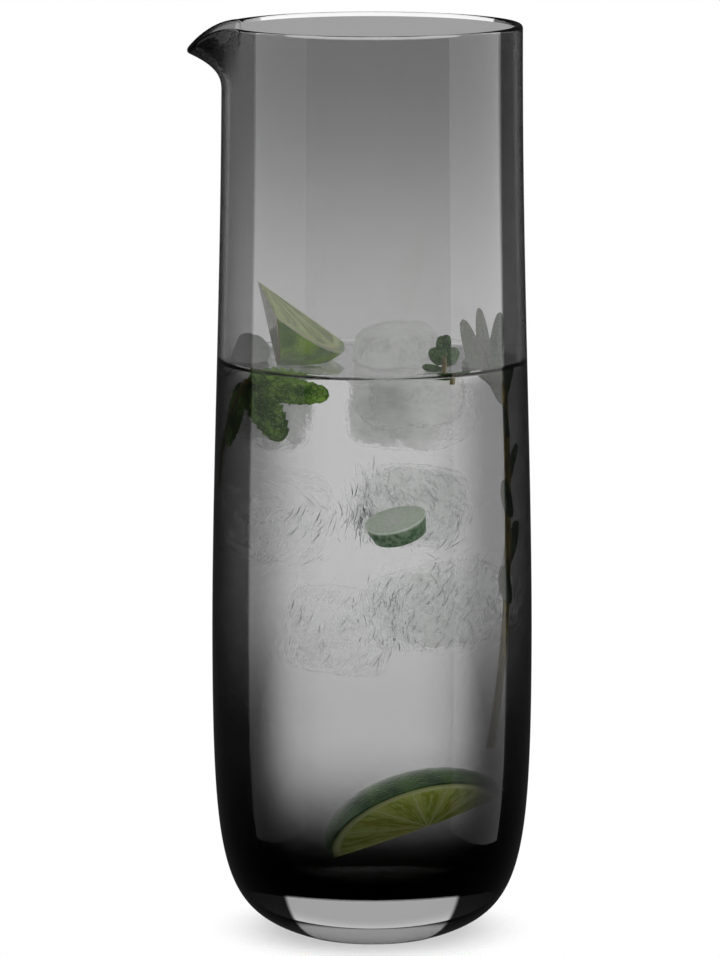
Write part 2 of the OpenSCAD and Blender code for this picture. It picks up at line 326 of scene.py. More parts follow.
vessel_rings = [(0, 0, 0)]
vessel_rings += [ring(lambda b, p=p: p) for p in outside_profile]
vessel_rings += [ring(lambda b, t=t: collar_point(b, t, 1)) for t in shares(collar_steps)]
for step in range(lip_steps + 1):
    lip = math.pi * step / lip_steps
    vessel_rings.append(
        ring(lambda b, a=lip: collar_point(b, 1, math.cos(a), math.sin(a) - 1))
    )
outer_bands = len(vessel_rings)
for t in reversed(shares(collar_steps)):
    vessel_rings.append(ring(lambda b, t=t: collar_point(b, t, -1)))
vessel_rings += [ring(lambda b, p=p: p) for p in reversed(inside_dry)]
dry_bands = len(vessel_rings) - outer_bands
vessel_rings += [ring(lambda b, p=p: p) for p in reversed(inside_wet)]
vessel_rings.append((0, 0, base_depth + smoke_wall))
wet_bands = len(vessel_rings) - 1 - outer_bands - dry_bands
vessel = revolve(
    "vessel", vessel_rings, [0] * outer_bands + [1] * dry_bands + [2] * wet_bands
)


def lets_light_in(tree, shader, tint):
    """Lets lamps light what stands inside, through the tint alone."""
    paths = add(tree, "LightPath").outputs
    passing = math_node(tree, "MAXIMUM", paths["Is Shadow Ray"], paths["Is Diffuse Ray"])
    through = add(tree, "BsdfTransparent", {"Color": tint}).outputs[0]
    return add(tree, "MixShader", {0: passing, 1: shader, 2: through}).outputs[0]


def level(tree):
    """Coordinates of the point on the vessel, as three outputs."""
    place = add(tree, "TexCoord").outputs["Object"]
    return add(tree, "SeparateXYZ", {0: place}).outputs


# What the smoked layer lets through, with painted shade in it. Each line has the two heights between
# which it changes, and the share of light at each. The darkening towards the cup's floor is painted
# shade, and so is the front of the cup's floor being darker than its back.
rim_smoke = (0.195, 0.295, 0.62, 0.36)
belly_smoke = (0.07, 0.13, 0.65, 0.73)
cup_floor_shade = (0.019, 0.062, 0.03, 1.0)
front_floor_shade = (0.028, 0.038, 0.08, 1.0)
film_low = 0.0012
film_high = 0.002
under_floor_smoke = (base_depth + film_low, base_depth + film_high, 0.9, 0.0)
front_to_back = (-0.01, 0.01)


def smoke_tint_and_shade(tree):
    """Share of light that the smoked layer lets through, darker towards the rim, with painted shade
    that darkens it towards the foot and more at the front of the cup's floor.
    """
    x, y, z = level(tree)
    upper = span(tree, z, *rim_smoke)
    lower = span(tree, z, *belly_smoke)
    lower = math_node(tree, "MULTIPLY", lower, span(tree, z, *cup_floor_shade))
    low_front = span(tree, z, *front_floor_shade)
    behind = span(tree, y, *front_to_back)
    low_front = math_node(tree, "MAXIMUM", low_front, behind)
    lower = math_node(tree, "MULTIPLY", lower, low_front)
    lower = math_node(tree, "MAXIMUM", lower, span(tree, z, *under_floor_smoke))
    dry = math_node(tree, "GREATER_THAN", z, fill)
    return add(tree, "Mix", {"Factor": dry, 2: lower, 3: upper}).outputs[0]


# Painted shade in the clear glass's colour, where it turns away from the eye, from 0 where it faces
# the eye to 1 at its edge. side_turn is where the painted dark side starts, left and right of the
# axis, and the edge values are the shares of light just past it. Below the belly the middle is
# dimmer too, by painted shade.
side_turn = (-0.01, 0.01, 0.36, 0.46)
foot_turn = 0.215
foot_top = (0.019, 0.026, 1.0, 0.0)
water_line = 0.004
dry_edge = (-0.01, 0.01, 0.5, 0.16)
wet_edge = (0.03, 0.05, 0.8, 0.28)
foot_edge = 0.02
edge_width = 0.03
far_edge = 0.5
far_share = 0.1
middle_turn = (0.03, 0.34)
middle_share = (0.05, 0.13, 0.2, 0.42)
low_turn = (0.17, 0.38, 1.0, 0.25)
low_top = (0.05, 0.12)
foot_share = 0.6
gloss_fade = (0.02, 0.12)


def side_shade(tree):
    """Share of light that reaches the eye through the outside face, as painted shade: it darkens
    past a set turn away from the eye, more where water fills it, standing for a studio that is dark
    at the sides."""
    x, y, z = level(tree)
    outward = add(tree, "CombineXYZ", {"X": x, "Y": y, "Z": 0.0}).outputs[0]
    outward = add(tree, "VectorMath", {0: outward}, operation="NORMALIZE").outputs[0]
    turned = add(tree, "LayerWeight", {"Blend": 0.5, "Normal": outward}).outputs["Facing"]
    in_foot = span(tree, z, *foot_top)
    start = span(tree, x, *side_turn)
    start = add(tree, "Mix", {"Factor": in_foot, 2: start, 3: foot_turn}).outputs[0]
    past = math_node(tree, "SUBTRACT", turned, start)
    wet = span(tree, z, fill - water_line, fill + water_line, 1.0, 0.0)
    wet_side = span(tree, z, *wet_edge)
    wet_side = add(tree, "Mix", {"Factor": in_foot, 2: wet_side, 3: foot_edge}).outputs[0]
    dry_side = span(tree, x, *dry_edge)
    edge = add(tree, "Mix", {"Factor": wet, 2: dry_side, 3: wet_side}).outputs[0]
    first = span(tree, past, 0.0, edge_width, 1.0, edge)
    rest = span(tree, past, edge_width, far_edge, 1.0, far_share)
    low_share = span(tree, z, *middle_share)
    low_share = math_node(tree, "MAXIMUM", low_share, in_foot)
    low_share = add(tree, "Mix", {"Factor": wet, 2: 1.0, 3: low_share}).outputs[0]
    inner = span(tree, turned, *middle_turn, 1.0, low_share)
    low_fall = span(tree, turned, *low_turn)
    low_fall = math_node(tree, "MAXIMUM", low_fall, span(tree, z, *low_top))
    low_fall = math_node(tree, "MAXIMUM", low_fall, in_foot)
    foot_shade = math_node(tree, "MULTIPLY_ADD", in_foot, foot_share - 1, 1.0)
    shade = math_node(tree, "MULTIPLY", first, rest)
    shade = math_node(tree, "MULTIPLY", shade, math_node(tree, "MULTIPLY", inner, low_fall))
    return math_node(tree, "MULTIPLY", shade, foot_shade)


# Clear glass whose colour carries the painted side shade
clear_glass, tree = new_material("clear_glass")
shade = side_shade(tree)
sockets = {
    "Base Color": math_node(tree, "MULTIPLY", shade, shade),
    "Roughness": 0,
    "IOR": glass_ior,
    "Transmission Weight": 1,
    "Specular Tint": span(tree, level(tree)[2], *gloss_fade),
}
body = add(tree, "BsdfPrincipled", sockets).outputs[0]
finish_surface(tree, lets_light_in(tree, body, (1, 1, 1, 1)))

smoked_glass, tree = new_material("smoked_glass")
tint = smoke_tint_and_shade(tree)
sockets = {
    "Base Color": math_node(tree, "MULTIPLY", tint, tint),
    "Roughness": 0,
    "IOR": glass_ior,
    "Transmission Weight": 1,
}
body = add(tree, "BsdfPrincipled", sockets).outputs[0]
finish_surface(tree, lets_light_in(tree, body, tint))

wet_film, tree = new_material("smoked_glass_wet")
finish_surface(tree, add(tree, "BsdfTransparent", {"Color": smoke_tint_and_shade(tree)}).outputs[0])
for finish in (clear_glass, smoked_glass, wet_film):
    vessel.data.materials.append(finish)
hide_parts("glass_shell", "smoke_layer")
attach(vessel, "vessel")


# Drink
# Clear water up to the fill line, with the upturned edge that it has against the wall. It
# lies a hair inside the wall, and its side bends light only by water's share of glass.
hair = 0.00002
water_ior = 1.333
edge_climbs = 2.5
edge_power = 4
edge_steps = 12
floor_band = 0.003
water_clear = (0.99, 0.99, 0.99, 1)
drink_rings = [(0, 0, base_depth + smoke_wall + hair)]
for radius, z in inside_wet:
    shift = hair if z > base_depth + floor_band else 0
    drink_rings.append(ring(lambda b, r=radius - shift, z=z + hair: (r, z)))
side_bands = len(drink_rings)
edge_r = wall_r(fill_edge) - wall - hair
for step in range(1, edge_steps + 1):
    u = step / edge_steps
    radius = edge_r - edge_climbs * meniscus * u
    z = fill + meniscus * (1 - u) ** edge_power
    drink_rings.append(ring(lambda b, r=radius, z=z: (r, z)))
drink_rings.append(ring(lambda b: (edge_r / 2, fill)))
drink_rings.append((0, 0, fill))
top_bands = len(drink_rings) - 1 - side_bands
drink = revolve("drink_water", drink_rings, [0] * side_bands + [1] * top_bands)


def water(name, ior):
    """Clear water that bends light by ior against what lies outside it."""
    made, tree = new_material(name)
    sockets = {
        "Base Color": water_clear,
        "Roughness": 0,
        "IOR": ior,
        "Transmission Weight": 1,
    }
    body = add(tree, "BsdfPrincipled", sockets)
    finish_surface(tree, lets_light_in(tree, body.outputs[0], (1, 1, 1, 1)))
    return made


drink.data.materials.append(water("drink_side", water_ior / glass_ior))
drink.data.materials.append(water("drink_top", water_ior))
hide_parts("drink")
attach(drink, "vessel")


# Ice
# Melted blocks of cloudy ice: a wet skin that all but vanishes under water, frost in patches
# and fine cracks. Each stands in its CAD block's place, its corners softened a little more.
melt_share = 0.4
corner_power = 7
block_fineness = 6
lump_depth = 0.045
lump_size = 1.6
lump_shift = 7
lump_noise = (0.6, 2.2, 4)
dry_ice_ior = 1.14
wet_ice_ior = 1.01
clear_ice_ior = 1.003
waterline_blur = 0.001
cloud_noise = {"Scale": 75, "Detail": 4, "Roughness": 0.6}
grain_noise = {"Scale": 500, "Detail": 8, "Roughness": 0.7}
fibre_noise = {"Scale": 420, "Detail": 7, "Roughness": 0.65}
fibre_turn = (0.2, 0.9, 0.4)
fibre_stretch = (1, 1, 0.16)
fibre_bend = 0.05
bend_noise = {"Scale": 45, "Detail": 2}
ring_cells = {"Scale": 300, "Randomness": 1}
# Where each frost pattern starts and ends to show, with the shares of frost or of white there
cloud_edges = (0.3, 0.52)
thin_clouds = (0.35, 0.65, 0.0, 0.25)
# lit_side is painted light: frost in smooth and dull ice turns whiter towards the right, lit side
lit_side = (0.004, 0.018, 0.36, 1.0)
scratches = (0.35, 0.55, 0.15, 0.95)
scratch_tones = (0.38, 0.5, 0.4, 1.0)
grain_tones = (0.4, 0.55, 0.9, 1.0)
ring_edges = (0.16, 0.24)
ring_shade = (0.2, 0.8)
clear_patches = (0.5, 0.66, 0.0, 0.7)
worn_edge = (-0.25, 0.1, 1.0, 0.0)
worn_clouds = -0.9
smooth_frost = 0.35
lit_share = 0.8
dull_share = 0.1
frost_grey = (0.3, 0.32, 0.3)
frost_white = (0.98, 0.99, 0.98)
skin_clear = (0.98, 0.98, 0.98, 1)
skin_roughness = 0.05
skin_relief = {"Strength": 0.3, "Distance": 0.0006}
# Each block's name, the body it rides on, its kind, its place in radii of the bore and in
# fill lines up, its sides in radii of the bore, and its turns about X, Y and Z in degrees
ice_blocks = (
    ("ice_top", "top_ice", "smooth", (0.18, -0.1, 0.98), (0.58, 0.54, 0.72), (8, -6, 14)),
    ("ice_upper_left", "vessel", "smooth", (-0.53, -0.17, 0.91), (0.4, 0.4, 0.42), (-12, 18, 30)),
    ("ice_upper_right", "vessel", "smooth", (0.15, 0.58, 0.9), (0.5, 0.42, 0.52), (6, 10, -20)),
    ("ice_middle_left", "vessel", "clear", (-0.49, 0.24, 0.73), (0.6, 0.54, 0.66), (14, 9, 8)),
    ("ice_middle_back", "vessel", "frosted", (0.2, -0.1, 0.76), (0.54, 0.5, 0.56), (-7, 12, 24)),
    ("ice_lower_front", "vessel", "clear", (-0.18, -0.3, 0.55), (0.62, 0.54, 0.6), (-9, 7, -14)),
    ("ice_lower_right", "vessel", "frosted", (0.3, 0.42, 0.565), (0.56, 0.52, 0.58), (-8, -10, 35)),
    ("ice_chip", "vessel", "dull", (-0.795, -0.03, 1.01), (0.19, 0.22, 0.28), (20, 12, 40)),
)


def melted_block(name, place, sides, turn):
    """Rounded lumpy block inside the box and the ball that shape its CAD solid."""
    half = Vector(sides) * bore_r / 2
    ball = half.length * 2 * melt_share
    made = bpy.data.meshes.new(name)
    bpy.ops.mesh.primitive_ico_sphere_add(subdivisions=block_fineness, radius=1)
    source = bpy.context.active_object
    seat = Matrix.Translation((place[0] * bore_r, place[1] * bore_r, place[2] * fill))
    for axis, angle in zip("ZYX", reversed(turn)):
        seat = seat @ Matrix.Rotation(math.radians(angle), 4, axis)
    lumps = Vector([p * lump_shift for p in place])
    points = []
    for vertex in source.data.vertices:
        d = vertex.co.normalized()
        box_share = sum((abs(d[k]) / half[k]) ** corner_power for k in range(3))
        reach = (box_share + ball**-corner_power) ** (-1 / corner_power)
        reach *= 1 - lump_depth + lump_depth * noise.fractal(d * lump_size + lumps, *lump_noise)
        points.append(seat @ (d * reach))
    faces = [tuple(f.vertices) for f in source.data.polygons]
    bpy.data.objects.remove(source)
    made.from_pydata(points, [], faces)
    made.polygons.foreach_set("use_smooth", [True] * len(faces))
    block = bpy.data.objects.new(name, made)
    scene.collection.objects.link(block)
    return block


def blend_colours(tree, share, first, second):
    """Colour between two colours."""
    made = add(tree, "Mix", {"Factor": share}, data_type="RGBA")
    for name, value in ((6, first), (7, second)):
        if isinstance(value, bpy.types.NodeSocket):
            tree.links.new(value, made.inputs[name])
        else:
            made.inputs[name].default_value = (*value, 1)
    return made.outputs[2]


def ice_material(name, kind):
    """Wet ice with frost in it: even thin clouds in smooth ice and darker ones in dull ice, whiter
    by painted light on the right side and whiter above the water, bright scratched frost in frosted
    ice, and hardly any in clear ice."""
    made, tree = new_material(name)
    place = add(tree, "TexCoord").outputs["Object"]
    x, y, z = add(tree, "SeparateXYZ", {0: place}).outputs
    above = span(tree, z, fill - waterline_blur, fill + waterline_blur)
    facing = add(tree, "LayerWeight", {"Blend": 0.5}).outputs["Facing"]
    clouds = add(tree, "TexNoise", {"Vector": place, **cloud_noise}).outputs[0]
    grain = add(tree, "TexNoise", {"Vector": place, **grain_noise}).outputs[0]
    bent = add(tree, "TexNoise", {"Vector": place, **bend_noise}).outputs["Color"]
    bent = add(tree, "VectorMath", {0: bent, "Scale": fibre_bend}, operation="SCALE").outputs[0]
    bent = add(tree, "VectorMath", {0: place, 1: bent}, operation="ADD").outputs[0]
    sockets = {"Vector": bent, "Rotation": fibre_turn, "Scale": fibre_stretch}
    slanted = add(tree, "Mapping", sockets).outputs[0]
    fibres = add(tree, "TexNoise", {"Vector": slanted, **fibre_noise}).outputs[0]
    cells = add(tree, "TexVoronoi", {"Vector": place, **ring_cells})
    rings = span(tree, cells.outputs["Distance"], *ring_edges)
    cloud = span(tree, clouds, *cloud_edges)
    if kind in ("smooth", "dull"):
        frost = math_node(tree, "MULTIPLY_ADD", cloud, smooth_frost, smooth_frost)
        tone = span(tree, clouds, *thin_clouds)
        # Painted light: whiter on the right, lit side, and whiter above the water line as well
        lit = math_node(tree, "MAXIMUM", span(tree, x, *lit_side), above)
        tone = math_node(tree, "ADD", tone, math_node(tree, "MULTIPLY", lit, lit_share))
        if kind == "dull":
            tone = math_node(tree, "MULTIPLY", tone, dull_share)
    else:
        frost = span(tree, fibres, *scratches)
        frost = math_node(tree, "MULTIPLY", cloud, frost)
        tone = span(tree, fibres, *scratch_tones)
        fine = span(tree, grain, *grain_tones)
        tone = math_node(tree, "MULTIPLY", tone, fine)
        ringed = math_node(tree, "MULTIPLY_ADD", rings, *ring_shade)
        tone = math_node(tree, "MULTIPLY", tone, ringed)
    if kind == "clear":
        frost = math_node(tree, "MULTIPLY", frost, span(tree, clouds, *clear_patches))
    worn = math_node(tree, "ADD", facing, math_node(tree, "MULTIPLY", clouds, worn_clouds))
    rim_fade = span(tree, worn, *worn_edge)
    under = math_node(tree, "MULTIPLY", frost, rim_fade)
    frost = add(tree, "Mix", {"Factor": above, 2: under, 3: frost}).outputs[0]
    colour = blend_colours(tree, tone, frost_grey, frost_white)
    white = add(tree, "BsdfTranslucent", {"Color": colour}).outputs[0]
    matte = add(tree, "BsdfDiffuse", {"Color": colour}).outputs[0]
    frosty = add(tree, "MixShader", {0: 0.5, 1: white, 2: matte}).outputs[0]
    bump = add(tree, "Bump", {**skin_relief, "Height": clouds})
    under_ior = clear_ice_ior if kind == "clear" else wet_ice_ior
    sockets = {
        "Base Color": skin_clear,
        "Roughness": skin_roughness,
        "IOR": add(tree, "Mix", {"Factor": above, 2: under_ior, 3: dry_ice_ior}).outputs[0],
        "Transmission Weight": 1,
        "Normal": bump.outputs[0],
    }
    skin = add(tree, "BsdfPrincipled", sockets).outputs[0]
    skin = lets_light_in(tree, skin, (1, 1, 1, 1))
    finish_surface(tree, add(tree, "MixShader", {0: frost, 1: skin, 2: frosty}).outputs[0])
    return made


kinds = ("smooth", "dull", "frosted", "clear")
ice_kinds = {kind: ice_material(kind + "_ice", kind) for kind in kinds}
blocks = {}
for name, body, kind, place, sides, turn in ice_blocks:
    block = melted_block(name.replace("ice", "melted"), place, sides, turn)
    block.data.materials.append(ice_kinds[kind])
    blocks[name] = block
    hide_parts(name)
    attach(block, body)


# Frost streaks
# Fine white and grey crystals frozen just under the faces of the ice, most of them aslant,
# with a grey patch of them left of the lime slice. They are too small for the CAD model.
streak_zone_x = (-0.029, 0.040)
streak_zone_z = (0.094, 0.170)
streak_turn_z = 0.142
streak_stray = 0.0024
streak_depths = (0.00005, 0.0004)
streak_reaches = (0.0006, 0.0034)
streak_sizes = (0.00004, 0.00012)
streak_bow = 0.12
streak_tip = 0.2
upper_lean = -0.9
lower_lean = 0.4
lean_spread = 0.3
facing_eye = -0.3
wall_gap = 0.004
grey_patch = (-0.004, 0.138)
grey_patch_r = 0.008
grey_in_patch = 0.6
grey_elsewhere = 0.16
streak_counts = {
    "ice_middle_back": 1500,
    "ice_lower_right": 1300,
    "ice_lower_front": 380,
    "ice_middle_left": 380,
}
streak_seed = 11
chance = random.Random(streak_seed)
points, faces, slots = [], [], []
for name, count in streak_counts.items():
    skin = [v for v in blocks[name].data.vertices if v.normal.y < facing_eye]
    for vertex in chance.choices(skin, k=count):
        place = vertex.co - vertex.normal * chance.uniform(*streak_depths)
        place += Vector((chance.gauss(0, streak_stray), 0, chance.gauss(0, streak_stray)))
        inside_x = streak_zone_x[0] < place.x < streak_zone_x[1]
        inside_z = streak_zone_z[0] < place.z < streak_zone_z[1]
        if not inside_x or not inside_z or math.hypot(place.x, place.y) > bore_r - wall_gap:
            continue
        lean = upper_lean if place.z > streak_turn_z else lower_lean
        lean = chance.gauss(lean, lean_spread)
        reach = chance.uniform(*streak_reaches)
        thick = chance.uniform(*streak_sizes)
        run = Vector((math.sin(lean), 0, math.cos(lean)))
        run = (run - vertex.normal * run.dot(vertex.normal)).normalized() * reach
        bow = run.cross(vertex.normal) * streak_bow
        first = len(points)
        for end, size in ((-1, streak_tip), (0, 1), (1, streak_tip)):
            middle = place + run * end + bow * (1 - abs(end))
            for corner in range(4):
                a = math.pi / 2 * corner
                points.append(middle + thick * size * Vector((math.cos(a), math.sin(a), 0)))
        in_patch = math.dist(place.xz, grey_patch) < grey_patch_r
        slot = 1 if chance.random() < (grey_in_patch if in_patch else grey_elsewhere) else 0
        for band in (0, 4):
            for corner in range(4):
                d = (corner + 1) % 4
                faces.append([first + band + k for k in (corner, d, 4 + d, 4 + corner)])
                slots.append(slot)
mesh = bpy.data.meshes.new("frost_streaks")
mesh.from_pydata(points, [], faces)
mesh.polygons.foreach_set("material_index", slots)
streaks = bpy.data.objects.new("frost_streaks", mesh)
scene.collection.objects.link(streaks)
streak_tones = {"streak_white": (0.97, 0.98, 0.98, 1), "streak_grey": (0.22, 0.24, 0.25, 1)}
for name, colour in streak_tones.items():
    made, tree = new_material(name)
    glow = add(tree, "BsdfTranslucent", {"Color": colour}).outputs[0]
    matte = add(tree, "BsdfDiffuse", {"Color": colour}).outputs[0]
    finish_surface(tree, add(tree, "MixShader", {0: 0.5, 1: glow, 2: matte}).outputs[0])
    mesh.materials.append(made)
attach(streaks, "vessel")


# Limes
# A floating wedge, a long wedge low in the drink and a small end slice among the ice, all cut
# with a knife. The CAD solids stay, and get peel and flesh that follow each fruit's long axis.
lime_r = 0.022
lime_half = 0.029
slant_angle = math.radians(49.5)
slant_shift = 0.32
slant_blur = (0.0001, 0.0004, 1.0, 0.0)
skin_edges = (0.88, 0.97)
pith_edges = (0.72, 0.8)
membrane_edges = (0.006, 0.03, 1.0, 0.0)
segment_rate = 1.9
juice_reach = 4.0
juice_width = 10.0
bead_edges = (0.12, 0.3, 1.0, 0.0)
bead_pick = (0.55, 0.6)
slice_skin_edges = (0.14, 0.25, 1.0, 0.0)
pit_dark = (0.02, 0.05, 0.01)
pore_cells = {"Scale": 800}
pore_edges = (0.1, 0.5)
pore_shade = (0.0, 1.0, 0.35, 0.0)
peel_noise = {"Scale": 110, "Detail": 6}
patch_edges = (0.35, 0.65)
peel_relief = {"Strength": 0.5, "Distance": 0.0003}
peel_shine = {"Roughness": 0.28, "Coat Weight": 0.5, "Coat Roughness": 0.06}
wobble_noise = {"Scale": 120, "Detail": 3}
wobble_share = 0.12
juice_cells = {"Scale": 1.8}
juice_depth = (0.0, 0.4, 0.35, 1.0)
juice_edges = (0.1, 0.6)
membrane_share = 0.85
sac_height = 0.6
flesh_relief = {"Strength": 0.6, "Distance": 0.0005}
flesh_shine = {"Roughness": 0.14, "Subsurface Weight": 0.25, "Subsurface Scale": 0.002}
# How finely the beads of water are sown, and their height in depths of the relief
peel_beads = (420, 3.0)
flesh_beads = (500, 2.0)
slice_noise = {"Scale": 260, "Detail": 6}
slice_pale = ((0.8, 0.86, 0.76), (0.95, 0.97, 0.94))
slice_green = ((0.1, 0.2, 0.1), (0.34, 0.46, 0.32))
slice_roughness = 0.35
slice_glow = 0.6
# Each lime's place, turn, shift of its axis, share of a whole lime's size, and the height on
# the axis from which its segments fan out
limes = {
    "lime_wedge": ((-0.615, -0.222, 0.998), (53, 158.6, 109), (0.576, 0.748, 0.346), 1.0, -0.2),
    "lime_low": ((0.25, -0.22, 0.2), (-56, -45, -115), (0, 0, 0), 0.87, 0.1),
    "lime_slice": ((0.15, -0.66, 0.74), (18, -14, 0), (0, 0, 0), 0.4, 0.0),
}


def lime_frame(tree, place, turn, corner, size):
    """Distance from the lime's long axis and height along it, as shares of the whole lime."""
    sockets = {
        "Vector": add(tree, "TexCoord").outputs["Object"],
        "Location": (place[0] * bore_r, place[1] * bore_r, place[2] * fill),
        "Rotation": [math.radians(a) for a in turn],
        "Scale": (size, size, size),
    }
    own = add(tree, "Mapping", sockets, vector_type="TEXTURE").outputs[0]
    shift = (corner[0] * lime_r, corner[1] * lime_r, corner[2] * lime_half)
    own = add(tree, "VectorMath", {0: own, 1: shift}, operation="ADD").outputs[0]
    x, y, z = add(tree, "SeparateXYZ", {0: own}).outputs
    level_part = add(tree, "CombineXYZ", {"X": x, "Y": y}).outputs[0]
    across = add(tree, "VectorMath", {0: level_part}, operation="LENGTH").outputs["Value"]
    return (
        math_node(tree, "DIVIDE", across, lime_r),
        math_node(tree, "DIVIDE", z, lime_half),
        own,
    )


def beads(tree, own, scale, rise):
    """Height of small water beads that sit on a wet fruit, in depths of its relief."""
    cells = add(tree, "TexVoronoi", {"Vector": own, "Scale": scale, "Randomness": 1})
    bead = span(tree, cells.outputs["Distance"], *bead_edges)
    picked = add(tree, "SeparateColor", {0: cells.outputs["Color"]}).outputs[0]
    bead = math_node(tree, "MULTIPLY", bead, span(tree, picked, *bead_pick))
    return math_node(tree, "MULTIPLY", bead, rise)


def shaded_slant_cut(tree, own, colour, dull):
    """Colour that turns to a dull painted shade on the slanted cut across the floating wedge, whose
    face lies in shade.
    """
    x, y, z = add(tree, "SeparateXYZ", {0: own}).outputs
    shift = slant_shift * lime_half * math.cos(slant_angle)
    up = math_node(tree, "MULTIPLY_ADD", z, math.cos(slant_angle), shift)
    off = math_node(tree, "MULTIPLY_ADD", y, -math.sin(slant_angle), up)
    return blend_colours(tree, span(tree, off, *slant_blur), colour, dull)


def lime_peel(name, lime, dark, light, pith, dull=None):
    """Thin pored green skin over pale pith, which shows at the cuts."""
    made, tree = new_material(name)
    across, up, own = lime_frame(tree, *lime[:4])
    depth = math_node(tree, "MULTIPLY", across, across)
    depth = math_node(tree, "ADD", depth, math_node(tree, "MULTIPLY", up, up))
    skin = span(tree, depth, *skin_edges)
    pores = add(tree, "TexVoronoi", {"Vector": own, **pore_cells})
    pits = span(tree, pores.outputs["Distance"], *pore_edges)
    patches = add(tree, "TexNoise", {"Vector": own, **peel_noise}).outputs[0]
    green = blend_colours(tree, span(tree, patches, *patch_edges), dark, light)
    green = blend_colours(tree, span(tree, pits, *pore_shade), green, pit_dark)
    colour = blend_colours(tree, skin, pith, green)
    # Painted shade on the floating wedge's slanted cut
    if dull:
        colour = shaded_slant_cut(tree, own, colour, dull)
    relief = math_node(tree, "ADD", pits, beads(tree, own, *peel_beads))
    bump = add(tree, "Bump", {**peel_relief, "Height": relief})
    sockets = {"Base Color": colour, "Normal": bump.outputs[0], **peel_shine}
    finish_surface(tree, add(tree, "BsdfPrincipled", sockets).outputs[0])
    return made


def lime_flesh(name, lime, dark, light, pith, dull=None):
    """Juicy segments that fan out from a point on the axis, walled by pale membranes."""
    made, tree = new_material(name)
    across, up, own = lime_frame(tree, *lime[:4])
    along_axis = math_node(tree, "SUBTRACT", up, lime[4])
    wobble = add(tree, "TexNoise", {"Vector": own, **wobble_noise}).outputs[0]
    angle = math_node(tree, "ARCTAN2", across, along_axis)
    angle = math_node(tree, "MULTIPLY_ADD", wobble, wobble_share, angle)
    reach = math_node(tree, "MULTIPLY", across, across)
    reach = math_node(tree, "ADD", reach, math_node(tree, "MULTIPLY", along_axis, along_axis))
    reach = math_node(tree, "SQRT", reach)
    from_wall = math_node(tree, "PINGPONG", math_node(tree, "MULTIPLY", angle, segment_rate), 0.5)
    wall_line = math_node(tree, "MULTIPLY", from_wall, reach)
    membrane = span(tree, wall_line, *membrane_edges)
    far = math_node(tree, "MULTIPLY", reach, juice_reach)
    wide = math_node(tree, "MULTIPLY", angle, juice_width)
    fan = add(tree, "CombineXYZ", {"X": far, "Y": wide}).outputs[0]
    cells = add(tree, "TexVoronoi", {"Vector": fan, **juice_cells}, feature="SMOOTH_F1")
    cells = cells.outputs["Distance"]
    deep = math_node(tree, "MULTIPLY", span(tree, from_wall, *juice_depth), cells)
    juicy = blend_colours(tree, span(tree, deep, *juice_edges), light, dark)
    pale_wall = math_node(tree, "MULTIPLY", membrane, membrane_share)
    walled = blend_colours(tree, pale_wall, juicy, pith)
    edge = math_node(tree, "MULTIPLY", across, across)
    edge = math_node(tree, "ADD", edge, math_node(tree, "MULTIPLY", up, up))
    colour = blend_colours(tree, span(tree, edge, *pith_edges), walled, pith)
    # Painted shade on the floating wedge's slanted cut
    if dull:
        colour = shaded_slant_cut(tree, own, colour, dull)
    relief = math_node(tree, "MULTIPLY", cells, sac_height)
    relief = math_node(tree, "SUBTRACT", membrane, relief)
    relief = math_node(tree, "MAXIMUM", relief, beads(tree, own, *flesh_beads))
    bump = add(tree, "Bump", {**flesh_relief, "Height": relief})
    sockets = {"Base Color": colour, "Normal": bump.outputs[0], **flesh_shine}
    finish_surface(tree, add(tree, "BsdfPrincipled", sockets).outputs[0])
    return made


def slice_finish(name, lime, skinned):
    """Pale end slice, its green skin only round the edge and dulled by the frost about it."""
    made, tree = new_material(name)
    across, up, own = lime_frame(tree, *lime[:4])
    rim = span(tree, up, *slice_skin_edges) if skinned else 0.0
    dull = add(tree, "TexNoise", {"Vector": own, **slice_noise}).outputs[0]
    dull = span(tree, dull, *patch_edges)
    pale = blend_colours(tree, dull, *slice_pale)
    green = blend_colours(tree, dull, *slice_green)
    sockets = {"Base Color": blend_colours(tree, rim, pale, green), "Roughness": slice_roughness}
    body = add(tree, "BsdfPrincipled", sockets).outputs[0]
    glow = add(tree, "BsdfTranslucent", {"Color": sockets["Base Color"]}).outputs[0]
    finish_surface(tree, add(tree, "MixShader", {0: slice_glow, 1: body, 2: glow}).outputs[0])
    return made


# The colours of each lime: dark and light, then the pith, then the painted shade on the slanted cut.
# The wedge peel's pith is a pale pith darkened to amber by painted shade.
wedge_skin = ((0.07, 0.15, 0.008), (0.25, 0.42, 0.03), (0.3, 0.27, 0.06), (0.12, 0.1, 0.01))
wedge_juice = ((0.16, 0.22, 0.03), (0.4, 0.5, 0.13), (0.5, 0.56, 0.2), (0.1, 0.105, 0.06))
low_skin = ((0.015, 0.055, 0.012), (0.065, 0.14, 0.03), (0.6, 0.66, 0.28))
low_juice = ((0.38, 0.45, 0.06), (0.64, 0.72, 0.2), (0.78, 0.84, 0.4))
wedge, low, end_slice = limes["lime_wedge"], limes["lime_low"], limes["lime_slice"]
lime_finishes = {
    "lime_wedge_peel": lime_peel("wedge_skin", wedge, *wedge_skin),
    "lime_wedge_flesh": lime_flesh("wedge_juice", wedge, *wedge_juice),
    "lime_low_peel": lime_peel("low_skin", low, *low_skin),
    "lime_low_flesh": lime_flesh("low_juice", low, *low_juice),
    "lime_slice_peel": slice_finish("slice_skin", end_slice, True),
    "lime_slice_flesh": slice_finish("slice_middle", end_slice, False),
}
for node, finish in lime_finishes.items():
    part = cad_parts[node]
    part.data.materials.clear()
    part.data.materials.append(finish)


